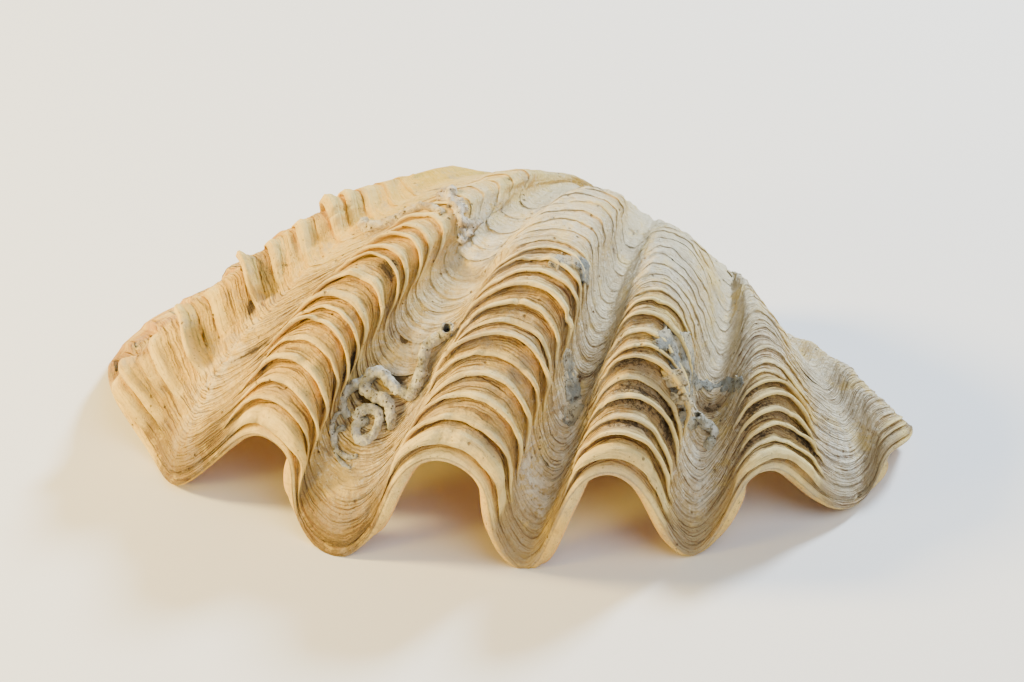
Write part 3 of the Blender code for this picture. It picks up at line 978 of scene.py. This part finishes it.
def worm_tube(name, radius, way, sunk, mouth_rise):
    """A tube along way, sunk by a share of its radius, its mouth raised, in mm."""
    way = np.array(way)
    at = np.linspace(0, len(way) - 1, 9 * (len(way) - 1) + 1)
    fine = spline(np.arange(len(way)), way, at)
    place, normal = skin(fine[:, 0], fine[:, 1], 0.55)
    lift = radius * (1 - sunk) + mouth_rise * np.exp(-at / 0.35)
    lift = lift - radius * 1.1 * smooth(len(way) - 1.5, len(way) - 1, at)
    middle = place + normal * lift[:, None]
    for _ in range(10):
        middle[1:-1] = (middle[:-2] + middle[1:-1] * 2 + middle[2:]) / 4
    curve = bpy.data.curves.new(name, "CURVE")
    curve.dimensions = "3D"
    curve.bevel_depth = radius * MM
    curve.bevel_resolution = 4
    line = curve.splines.new("POLY")
    line.points.add(len(middle) - 1)
    for k, spot in enumerate((middle - CENTRE) * MM):
        line.points[k].co = (*spot, 1)
        line.points[k].radius = 1 + 0.08 * math.sin(1.7 * at[k]) + 0.10 * math.exp(-at[k] / 0.12)
    tube = bpy.data.objects.new(name, curve)
    bpy.context.scene.collection.objects.link(tube)
    only(tube)
    bpy.ops.object.convert(target="MESH")
    with editing():
        bpy.ops.mesh.select_all(action="SELECT")
        bpy.ops.mesh.subdivide(number_cuts=1)
        bpy.ops.mesh.normals_make_consistent(inside=False)
    wall = tube.modifiers.new("wall", "SOLIDIFY")
    wall.thickness = TUBE_WALL * radius * MM
    wall.offset = -1
    apply_modifiers(tube)
    roughen(tube, [(2.4, 0.30), (0.9, 0.32), (0.5, 0.20)], seed=len(name))
    return tube


tubes = [
    worm_tube("worm_tube_long", TUBE_RADIUS, LONG_TUBE, 0.10, 1.6),
    worm_tube("worm_tube_side", 0.86 * TUBE_RADIUS, SIDE_LOOP, 0.3, 0.0),
    worm_tube("worm_tube_coil", 0.78 * TUBE_RADIUS, SMALL_COIL, 0.1, 0.0),
    worm_tube("worm_tube_ridge", 0.95 * TUBE_RADIUS, TOP_RIDGE, 0.65, 0.0),
    worm_tube("worm_tube_hook", 0.80 * TUBE_RADIUS, HOOK, 0.3, 0.0),
    worm_tube("worm_tube_thin", 0.38 * TUBE_RADIUS, THIN_LOOP, 0.0, 0.0),
    worm_tube("worm_tube_arc", 0.34 * TUBE_RADIUS, THIN_ARC, 0.0, 0.0),
]
for tube in tubes:
    cemented(tube)


# %% [markdown]
# ## Crusts and films
# Thin grey films of lime weed lie over the ledges and bridge the grooves, and a pitted
# white crust sits near the top. Each is a grid laid on the surface inside a few round
# strokes. Outside the strokes the grid dives under the shell, so its edge meets the
# ledges in a ragged line as a real crust does, and a solidify gives it a closed body.

# %% Crusts and films
CRUST_STEP = 0.33
CRUST_BODY = 0.8
CRUST_REACH = 0.75
CRUST_DIVE = 0.7
MARGIN_STEP = 0.002


def crust(name, strokes, thick, cover, ragged, crisp, grain, seed):
    """A thin growth over strokes of round spots: place along the margin, age, radius."""
    strokes = [np.array(stroke) for stroke in strokes]
    every = np.vstack(strokes)
    probe = sheet(
        every[:, 0].mean() + np.array([0, MARGIN_STEP, 0]),
        every[:, 1].mean() + np.array([0, 0, MARGIN_STEP]),
    )[0]
    per_u, per_age = np.linalg.norm(probe[1:] - probe[0], axis=1) / MARGIN_STEP
    reach = every[:, 2].max() + 1.5
    u_from, u_to = every[:, 0].min() - reach / per_u, every[:, 0].max() + reach / per_u
    a_from, a_to = every[:, 1].min() - reach / per_age, every[:, 1].max() + reach / per_age
    wide = int((u_to - u_from) * per_u / CRUST_STEP)
    tall = int((a_to - a_from) * per_age / CRUST_STEP)
    bpy.ops.object.select_all(action="DESELECT")
    bpy.ops.mesh.primitive_grid_add(x_subdivisions=wide, y_subdivisions=tall, size=1.0)
    made = bpy.context.active_object
    made.name = name
    flat = get_places(made.data) + 0.5
    u = u_from + np.clip(flat[:, 0], 0, 1) * (u_to - u_from)
    age = np.maximum(a_from + np.clip(flat[:, 1], 0, 1) * (a_to - a_from), 0.0)
    base = sheet(u, age, worn(age))[0]
    inside = np.full(len(u), 99.0)
    for stroke in strokes:
        spots = sheet(stroke[:, 0], stroke[:, 1], worn(stroke[:, 1]))[0]
        for k in range(max(1, len(spots) - 1)):
            a, b = spots[k], spots[min(k + 1, len(spots) - 1)]
            run = b - a
            t = np.clip((base - a) @ run / max(run @ run, 1e-9), 0, 1)
            radius = stroke[k, 2] * (1 - t) + stroke[min(k + 1, len(spots) - 1), 2] * t
            far = np.linalg.norm(base - a - t[:, None] * run, axis=1)
            inside = np.minimum(inside, far - radius)
    for size, share in ((2.4, 1.0), (1.0, 0.7), (0.5, 0.35)):
        inside = inside + ragged * share * bumps(base, size, seed)
    on = 1 - smooth(-crisp, 0.15, inside)
    over, normal = skin(u, age, cover + 0.15 * bumps(base, 4.0, seed + 1))
    under = skin(u, age, 0.0)[0] - normal * CRUST_DIVE
    place = (over + normal * thick) * on[:, None] + under * (1 - on[:, None])
    set_places(made.data, (place - CENTRE) * MM)
    only(made)
    with editing():
        bpy.ops.mesh.select_mode(type="VERT")
        bpy.ops.mesh.select_all(action="DESELECT")
    made.data.vertices.foreach_set("select", inside > CRUST_REACH)
    with editing():
        bpy.ops.mesh.delete(type="VERT")
    trim_border(made)
    roughen(made, grain, seed)
    body = made.modifiers.new("body", "SOLIDIFY")
    body.thickness = CRUST_BODY * MM
    body.offset = -1
    apply_modifiers(made)
    return made


FILM_GRAIN = [(3.0, 0.12), (1.1, 0.10), (0.5, 0.06)]
films = [
    crust("film_rib_top", [
        [(0.436, 0.345, 1.3), (0.448, 0.368, 2.2), (0.462, 0.392, 2.2), (0.476, 0.388, 1.4)],
    ], 0.10, 0.80, 1.3, 0.4, FILM_GRAIN, 3.0),
    crust("film_valley_disc", [
        [(0.505, 0.295, 1.8), (0.520, 0.285, 2.6), (0.530, 0.268, 2.4)],
        [(0.540, 0.243, 3.1)],
    ], 0.14, 0.8, 0.8, 0.35, FILM_GRAIN, 4.0),
    crust("film_branched", [
        [(0.641, 0.228, 1.6), (0.651, 0.262, 2.2), (0.667, 0.286, 2.6), (0.677, 0.277, 2.6),
         (0.692, 0.286, 2.6), (0.700, 0.259, 2.2), (0.700, 0.222, 1.9), (0.712, 0.225, 1.5)],
        [(0.692, 0.286, 2.2), (0.710, 0.313, 1.6), (0.737, 0.350, 1.3), (0.762, 0.290, 1.6),
         (0.775, 0.248, 2.2)],
        [(0.660, 0.250, 1.5), (0.668, 0.200, 1.5), (0.690, 0.190, 1.3)],
    ], 0.14, 0.85, 1.3, 0.3, FILM_GRAIN, 5.0),
]
CRUST_GRAIN = [(2.4, 0.9), (1.0, 0.6), (0.5, 0.35)]
white_crust = crust("white_crust", [
    [(0.196, 0.560, 2.2), (0.228, 0.500, 2.6), (0.244, 0.496, 2.0), (0.262, 0.530, 2.0),
     (0.280, 0.532, 1.6)],
], 0.8, 0.5, 1.5, 0.8, CRUST_GRAIN, 6.0)
LUMP_GRAIN = [(1.2, 0.7), (0.6, 0.5)]
lumps_on_rib = crust("yellow_lumps", [
    [(0.655, 0.186, 1.1), (0.667, 0.195, 1.5)], [(0.667, 0.172, 1.3), (0.680, 0.190, 1.4)],
], 0.5, 0.8, 1.2, 0.5, LUMP_GRAIN, 7.0)
for piece in films + [white_crust, lumps_on_rib]:
    cemented(piece)


# %% [markdown]
# ## Building finishes
# Every finish here is a small network of nodes. These helpers add a node, wire what
# feeds it and hand back its socket, so that a finish reads as a recipe. Colours are
# given as they look on screen, 0 to 255, and turned into the linear values that Blender
# mixes.

# %% Helpers for node networks
# The network that the helpers add to: the group or material that was started last.
tree = None


def seen(red, green, blue):
    """A screen colour as linear values."""
    part = [c / 255 for c in (red, green, blue)]
    return tuple(c / 12.92 if c <= 0.04045 else ((c + 0.055) / 1.055) ** 2.4 for c in part)


def put(kind, feeds, output=0, **settings):
    """Add a node, feed its inputs with sockets or values, return one output."""
    made = tree.nodes.new(kind)
    for name, setting in settings.items():
        setattr(made, name, setting)
    for name, feed in feeds.items():
        if isinstance(feed, bpy.types.NodeSocket):
            tree.links.new(feed, made.inputs[name])
        elif isinstance(feed, tuple) and len(feed) == 3 and made.inputs[name].type == "RGBA":
            made.inputs[name].default_value = (*feed, 1)
        else:
            made.inputs[name].default_value = feed
    return made.outputs[output]


def calc(what, a, b=0.0, clamp=False):
    return put("ShaderNodeMath", {0: a, 1: b}, operation=what, use_clamp=clamp)


def times(first, *others):
    """The product of all these values."""
    for other in others:
        first = calc("MULTIPLY", first, other)
    return first


def plus(a, b):
    return calc("ADD", a, b)


def minus(a, b):
    return calc("SUBTRACT", a, b)


def ramp(x, low, high, to_low=0.0, to_high=1.0):
    feeds = {"Value": x, "From Min": low, "From Max": high, "To Min": to_low, "To Max": to_high}
    return put("ShaderNodeMapRange", feeds, interpolation_type="SMOOTHSTEP")


def tint(amount, under, over, how="MIX"):
    """Lay the colour over on the colour under."""
    feeds = {0: amount, 6: under, 7: over}
    return put("ShaderNodeMix", feeds, 2, data_type="RGBA", blend_type=how)


def cloud(vector, scale, detail=3.0, roughness=0.55):
    feeds = {"Vector": vector, "Scale": scale, "Detail": detail, "Roughness": roughness}
    return put("ShaderNodeTexNoise", feeds)


def kept(name, output="Fac"):
    """A value that was kept on the points of the mesh."""
    return put("ShaderNodeAttribute", {}, output, attribute_name=name)


def new_group(name, inputs, outputs):
    """An empty shader node group with named sockets: (name, kind, start value)."""
    global tree
    tree = group = bpy.data.node_groups.new(name, "ShaderNodeTree")
    for label, kind, start in inputs:
        made = group.interface.new_socket(label, in_out="INPUT", socket_type="NodeSocket" + kind)
        if start is not None:
            made.default_value = start
    for label, kind in outputs:
        group.interface.new_socket(label, in_out="OUTPUT", socket_type="NodeSocket" + kind)
    return group, group.nodes.new("NodeGroupInput").outputs


def give(**results):
    """Wire the results of the group that was started last to its named outputs."""
    end = tree.nodes.new("NodeGroupOutput")
    for name, socket in results.items():
        tree.links.new(socket, end.inputs[name])


def use(group, feeds):
    """Place a node group and feed it."""
    return put("ShaderNodeGroup", feeds, node_tree=group).node.outputs


def start_finish(name):
    """An empty material and its shader."""
    global tree
    made = bpy.data.materials.new(name)
    made.use_nodes = True
    tree = made.node_tree
    return made, tree.nodes["Principled BSDF"]


def finish_with(shader, colour, roughness, height, depth):
    """Wire a colour, a roughness and a height for the bump into the shader."""
    tree.links.new(colour, shader.inputs["Base Color"])
    tree.links.new(roughness, shader.inputs["Roughness"])
    bump = put("ShaderNodeBump", {"Height": height, "Distance": depth, "Strength": 1.0})
    tree.links.new(bump, shader.inputs["Normal"])


# %% [markdown]
# ## Three effects that the finishes share
# Chalk grain is the fine tooth of weathered lime. Pits are the pin holes that boring
# animals left, and grime darkens in patches: dark dust on the growths and over the soot
# on the shell, and painted shade in the shell's grooves. Each is a node group with named
# inputs, made once and placed in every finish with its own values.

# %% Chalk grain, pits, and grime with painted shade
grain_group, given = new_group(
    "chalk grain", [("Place", "Vector", None), ("Size", "Float", 1.0)],
    [("Height", "Float"), ("Mottle", "Float")],
)
scale = calc("DIVIDE", 1000.0, given["Size"])
fine = cloud(given["Place"], scale, 4.0, 0.65)
broad = cloud(given["Place"], times(scale, 0.16), 3.0, 0.6)
give(Height=plus(fine, times(broad, 0.5)), Mottle=ramp(broad, 0.35, 0.65))

pits_group, given = new_group(
    "pin holes", [("Place", "Vector", None), ("Size", "Float", 1.0), ("Share", "Float", 0.3)],
    [("Hole", "Float")],
)
scale = calc("DIVIDE", 1000.0, given["Size"])
cells = {"Vector": given["Place"], "Scale": scale}
near = put("ShaderNodeTexVoronoi", cells, "Distance")
dice = put("ShaderNodeTexVoronoi", cells, "Color")
lucky = calc("LESS_THAN", put("ShaderNodeSeparateColor", {0: dice}), given["Share"])
give(Hole=times(ramp(near, 0.26, 0.12), lucky))

grime_and_shade_group, given = new_group(
    "grime_and_shade",
    [("Place", "Vector", None), ("Colour", "Color", None), ("Grime colour", "Color", None),
     ("Amount", "Float", 0.5), ("Size", "Float", 1.0)],
    [("Colour", "Color"), ("Mask", "Float")],
)
scale = calc("DIVIDE", 1000.0, given["Size"])
patch = cloud(given["Place"], scale, 5.0, 0.8)
level = minus(0.78, times(given["Amount"], 0.42))
mask = ramp(patch, level, plus(level, 0.14))
mask = times(mask, ramp(given["Amount"], 0.0, 0.15))
give(Colour=tint(mask, given["Colour"], given["Grime colour"]), Mask=mask)
print("node groups:", [group.name for group in bpy.data.node_groups])


# %% [markdown]
# ## Growth lines
# The finest layers are thinner than any face of the mesh, so they are drawn. A line lies
# wherever the age, counted in so many layers to a unit, passes a whole number. Noise
# that is stretched along the margin shifts the count, so the layers are uneven, and
# fades each line in and out. Bold lines mark where the animal paused, and fine ones fill
# the valleys.

# %% Growth lines
lines_group, given = new_group(
    "growth lines", [("Waver", "Float", 0.007)],
    [("Bold", "Float"), ("Fine", "Float"), ("Streak", "Float"), ("Age", "Float"),
     ("Along", "Float"), ("Stand", "Float")],
)
parts = put("ShaderNodeSeparateXYZ", {0: kept("growth", "Vector")}).node
at_margin, at_age, at_stand = parts.outputs
place = put("ShaderNodeTexCoord", {}, "Object")
waver = times(minus(cloud(place, 160.0), 0.5), given["Waver"])
crinkle = times(minus(cloud(place, 700.0, 2.0), 0.5), 0.0045)
bent = plus(at_age, plus(waver, crinkle))


def stretched(across, deep, detail):
    """Noise drawn out along the margin."""
    vector = put("ShaderNodeCombineXYZ", {0: times(at_margin, across), 1: times(bent, deep)})
    return cloud(vector, 1.0, detail, 0.6)


def layer_lines(every, across, jitter, width):
    """Thin lines so many to a unit of age, unevenly spaced, that fade in and out."""
    phase = plus(times(bent, every), times(stretched(across, every * 0.30, 2.0), jitter))
    off = calc("ABSOLUTE", minus(calc("FRACT", phase), 0.5))
    strength = ramp(stretched(across * 2.2, every * 0.8, 2.0), 0.38, 0.58)
    return times(ramp(off, 0.5 - width, 0.5 - width * 0.3), strength)


give(
    Bold=layer_lines(46.0, 9.0, 3.5, 0.09), Fine=layer_lines(170.0, 16.0, 3.0, 0.27),
    Streak=stretched(14.0, 150.0, 3.0), Age=at_age, Along=at_margin, Stand=at_stand,
)


# %% [markdown]
# ## The shell's lime, with painted light and shade
# Old dry lime is cream on the lips, where light and hands wore it, chalky grey in the
# valleys with a painted cool tint for the blue skylight there, and stained tan where
# layers end close together near the margin. Grooves get painted shade in brown, and
# painted yellow light, a strong yellow, towards the left, where the whole shell is
# yellower from a yellow stain and painted yellow light. Ochre shows on the right flanks.
# This cell works out where each tone lies, as a value from 0 to 1 at every place, from
# the kept values, the place along the margin and noise.

# %% Where each tone of the shell lies
lime, shader = start_finish("weathered shell lime")
place = put("ShaderNodeTexCoord", {}, "Object")
lines = use(lines_group, {})
at_age, at_margin, at_stand = lines["Age"], lines["Along"], lines["Stand"]
groove = kept("groove")
inner = kept("inner")
side = kept("side")
lip = times(kept("lip"), ramp(at_stand, 0.08, 0.45))
valley = calc("SUBTRACT", 1.0, ramp(at_stand, 0.15, 0.75), clamp=True)
outside = calc("SUBTRACT", 1.0, ramp(inner, 0.2, 0.5), clamp=True)
old = ramp(at_age, 0.28, 0.52)
# Share of painted yellow light towards the left, given to the grooves and the lips.
left_yellow_light_share = ramp(at_margin, 0.38, 0.12)

wider = cloud(place, 28.0, 2.0)
wide = cloud(place, 70.0, 3.0)
blotch = cloud(place, 130.0, 4.0, 0.65)
freckle = cloud(place, 800.0, 5.0, 0.75)
pits = use(pits_group, {"Place": place, "Size": 1.7, "Share": 0.10})["Hole"]
specks = use(pits_group, {"Place": place, "Size": 0.95, "Share": 0.22})["Hole"]

# Grey chalk in the valleys, with a painted cool tint that stands in for the blue skylight there.
valley_chalk_and_cool_tint = times(valley, outside, ramp(wider, 0.30, 0.60, 0.40, 0.90),
               ramp(at_margin, 0.15, 0.75, 0.45, 1.0))
ochre = plus(times(ramp(wider, 0.48, 0.66), 0.40), times(kept("flank"), 0.55))
ochre = times(ochre, ramp(wide, 0.30, 0.60, 0.25, 1.0))
# Painted yellow light towards the left end, laid over a real yellow stain there.
left_yellow_stain_and_light = times(ramp(at_margin, 0.42, 0.04), ramp(wide, 0.30, 0.60, 1.0, 0.70))
# Painted shade in the grooves under the lips, weaker where the ledges stand low.
groove_shade = times(groove, ramp(at_stand, 0.05, 0.5, 0.10, 1.0))
teeth = times(ramp(at_age, 0.16, 0.02), valley, outside, ramp(at_margin, 0.35, 0.50, 0.95, 0.55))
spots = times(ramp(freckle, 0.50, 0.64), ramp(old, 0.0, 1.0, 0.50, 0.18))
dry = times(ramp(freckle, 0.48, 0.38), plus(valley_chalk_and_cool_tint, 0.30),
            ramp(at_age, 0.03, 0.12), ramp(at_margin, 0.08, 0.30, 0.35, 1.0))
corner_stain = times(ramp(at_margin, 0.07, 0.01), outside, ramp(blotch, 0.40, 0.58))
soot = times(kept("soot"), ramp(groove, 0.0, 0.6, 0.40, 1.0))
worn_lip = times(lip, ramp(blotch, 0.38, 0.60, 0.66, 0.25))
white = times(kept("chalk"), ramp(cloud(place, 420.0, 4.0, 0.7), 0.38, 0.60))
hinge = times(side, ramp(wider, 0.30, 0.75, 0.30, 0.75))


# %% [markdown]
# ## Lines of the shell
# The growth lines show beside the lips and fade on the old part. On the hinge side they
# give way to the edges of the thick plates that the hinge is built of.

# %% Lines of the shell
off_lip = times(
    ramp(lip, 0.15, 0.8, 1.0, 0.28), outside, ramp(side, 0.25, 0.02),
    ramp(cloud(place, 75.0, 3.0), 0.40, 0.62, 1.0, 0.45), ramp(old, 0.0, 1.0, 1.0, 0.22),
)
streak = times(ramp(lines["Streak"], 0.42, 0.66), off_lip)
bold = times(lines["Bold"], off_lip)
fine_line = times(lines["Fine"], off_lip)
phase = plus(times(side, 22.0), times(wide, 5.0))
plates = calc("ABSOLUTE", minus(calc("FRACT", phase), 0.5))
plates = times(ramp(plates, 0.34, 0.48), ramp(side, 0.10, 0.35), ramp(blotch, 0.40, 0.60))


# %% [markdown]
# ## Laying the tones on
# The tones go on one over the other, broad ones first, then lines, worn lips and pin
# holes. Dark grime goes over them, from the soot patches and as painted shade in the
# grooves. The hinge side gets its own colour last, and the inside its cream, warmed
# to orange by painted bounce light.

# %% Lay the tones on
def lay(colour, tones):
    """Lay tones on a colour: where each lies, how strongly, and its screen colour."""
    for where, share, shade in tones:
        shade = seen(*shade) if isinstance(shade, tuple) else shade
        colour = tint(times(where, share), colour, shade)
    return colour


# Painted shade in the grooves is brown, and painted yellow light turns it a strong yellow
# towards the left; the lips there get a little of the same yellow light.
groove_shade_and_glow = tint(left_yellow_light_share, seen(182, 144, 88), seen(226, 172, 58))
lip_tone = tint(left_yellow_light_share, seen(244, 220, 148), seen(242, 214, 134))
colour = tint(ramp(wide, 0.35, 0.65), seen(238, 212, 142), seen(214, 182, 110))
colour = lay(colour, [
    (old, 0.70, (248, 228, 178)),
    (valley_chalk_and_cool_tint, 1.0, (220, 207, 178)),
    (ochre, 1.0, (232, 188, 86)),
    # painted yellow light and yellow stain towards the left
    (left_yellow_stain_and_light, 1.0, (234, 190, 58)),
    # painted shade in the grooves
    (groove_shade, 0.66, groove_shade_and_glow),
    (teeth, 1.0, (126, 102, 56)),
    (spots, 1.0, (168, 134, 86)),
    (dry, 0.70, (244, 234, 206)),
    (corner_stain, 1.0, (204, 150, 62)),
    (ramp(blotch, 0.52, 0.64), 0.40, (176, 160, 136)),
    (ramp(blotch, 0.46, 0.36), 0.50, (240, 206, 112)),
    (soot, 0.75, (134, 112, 82)),
    (streak, 0.42, (160, 122, 76)),
    (bold, 0.90, (102, 68, 34)),
    (fine_line, 0.80, (112, 80, 46)),
    (worn_lip, 1.0, lip_tone),
    (white, 0.85, (236, 230, 210)),
    (pits, 0.70, (104, 76, 48)),
    (specks, 0.60, (118, 90, 58)),
])
# Dark grime over the real soot patches, and painted shade that darkens the grooves.
soot_and_groove_shade = plus(times(soot, 0.72), times(groove_shade, 0.28))
grime_and_shade = use(grime_and_shade_group, {
    "Place": place, "Colour": colour, "Grime colour": seen(82, 66, 44), "Amount": soot_and_groove_shade,
    "Size": 1.1})
colour = lay(grime_and_shade["Colour"], [
    (hinge, 1.0, (216, 164, 84)),
    (plates, 0.60, (150, 108, 58)),
    # the inside's own cream, warmed to orange by painted bounce light
    (ramp(inner, 0.45, 0.9), 1.0, (238, 190, 120)),
])
print("the shell's finish has", len(tree.nodes), "nodes")


# %% [markdown]
# ## Roughness and relief
# Lines and pin holes are cut into the bump height, and the grain is rubbed flatter on
# the lips. Dry lime is rough everywhere.

# %% Roughness and relief of the shell
grain = use(grain_group, {"Place": place, "Size": 0.9})
rough = ramp(grain["Mottle"], 0.0, 1.0, 0.62, 0.80)
height = times(minus(1.0, lines["Streak"]), 0.7)
for cut, deep in ((fine_line, 0.30), (bold, 0.45), (plates, 0.5)):
    height = minus(height, times(cut, deep))
height = times(height, outside)
rub = times(grain["Height"], ramp(lip, 0.2, 0.9, 0.75, 0.35))
height = plus(height, rub)
for cut, deep in ((freckle, 0.5), (pits, 0.6)):
    height = minus(height, times(cut, deep))
finish_with(shader, colour, rough, height, 0.0008)
shader.inputs["Specular IOR Level"].default_value = 0.25
shell.data.materials.clear()
shell.data.materials.append(lime)


# %% [markdown]
# ## Tubes, crusts and films
# The worm tubes are grey white and sandy. The crust near the top is whiter and full of
# holes, the small lumps on a rib are yellow, and the films are thin grey weed lime.

# %% Growth finishes
def growth_finish(name, light, dark, grime_amount, hole_share, size, depth, roughness):
    """The finish of a cemented growth. Size is its grain in mm, depth its relief in m."""
    made, shader = start_finish(name)
    place = put("ShaderNodeTexCoord", {}, "Object")
    grain = use(grain_group, {"Place": place, "Size": size})
    colour = tint(grain["Mottle"], light, dark)
    pits = use(pits_group, {"Place": place, "Size": 1.1, "Share": hole_share})
    colour = tint(times(pits["Hole"], 0.8), colour, seen(84, 68, 44))
    dusty = use(grime_and_shade_group, {
        "Place": place, "Colour": colour, "Grime colour": seen(84, 72, 50),
        "Amount": grime_amount, "Size": 1.2})
    height = minus(grain["Height"], pits["Hole"])
    rough = ramp(grain["Mottle"], 0.0, 1.0, roughness - 0.06, roughness + 0.08)
    finish_with(shader, dusty["Colour"], rough, height, depth)
    return made


tube_lime = growth_finish(
    "worm tube lime", seen(210, 204, 184), seen(150, 144, 122), 0.62, 0.45, 0.6, 0.0007, 0.8)
crust_lime = growth_finish(
    "pitted crust", seen(234, 220, 192), seen(190, 166, 128), 0.60, 0.6, 0.7, 0.0007, 0.85)
film_lime = growth_finish(
    "weed film", seen(186, 172, 138), seen(126, 126, 116), 0.66, 0.35, 0.8, 0.0005, 0.7)
lump_lime = growth_finish(
    "yellow lumps", seen(222, 202, 154), seen(176, 150, 104), 0.60, 0.4, 0.7, 0.0007, 0.85)
for piece in tubes:
    piece.data.materials.clear()
    piece.data.materials.append(lump_lime if "ridge" in piece.name else tube_lime)
for piece in films:
    piece.data.materials.append(film_lime)
white_crust.data.materials.append(crust_lime)
lumps_on_rib.data.materials.append(lump_lime)
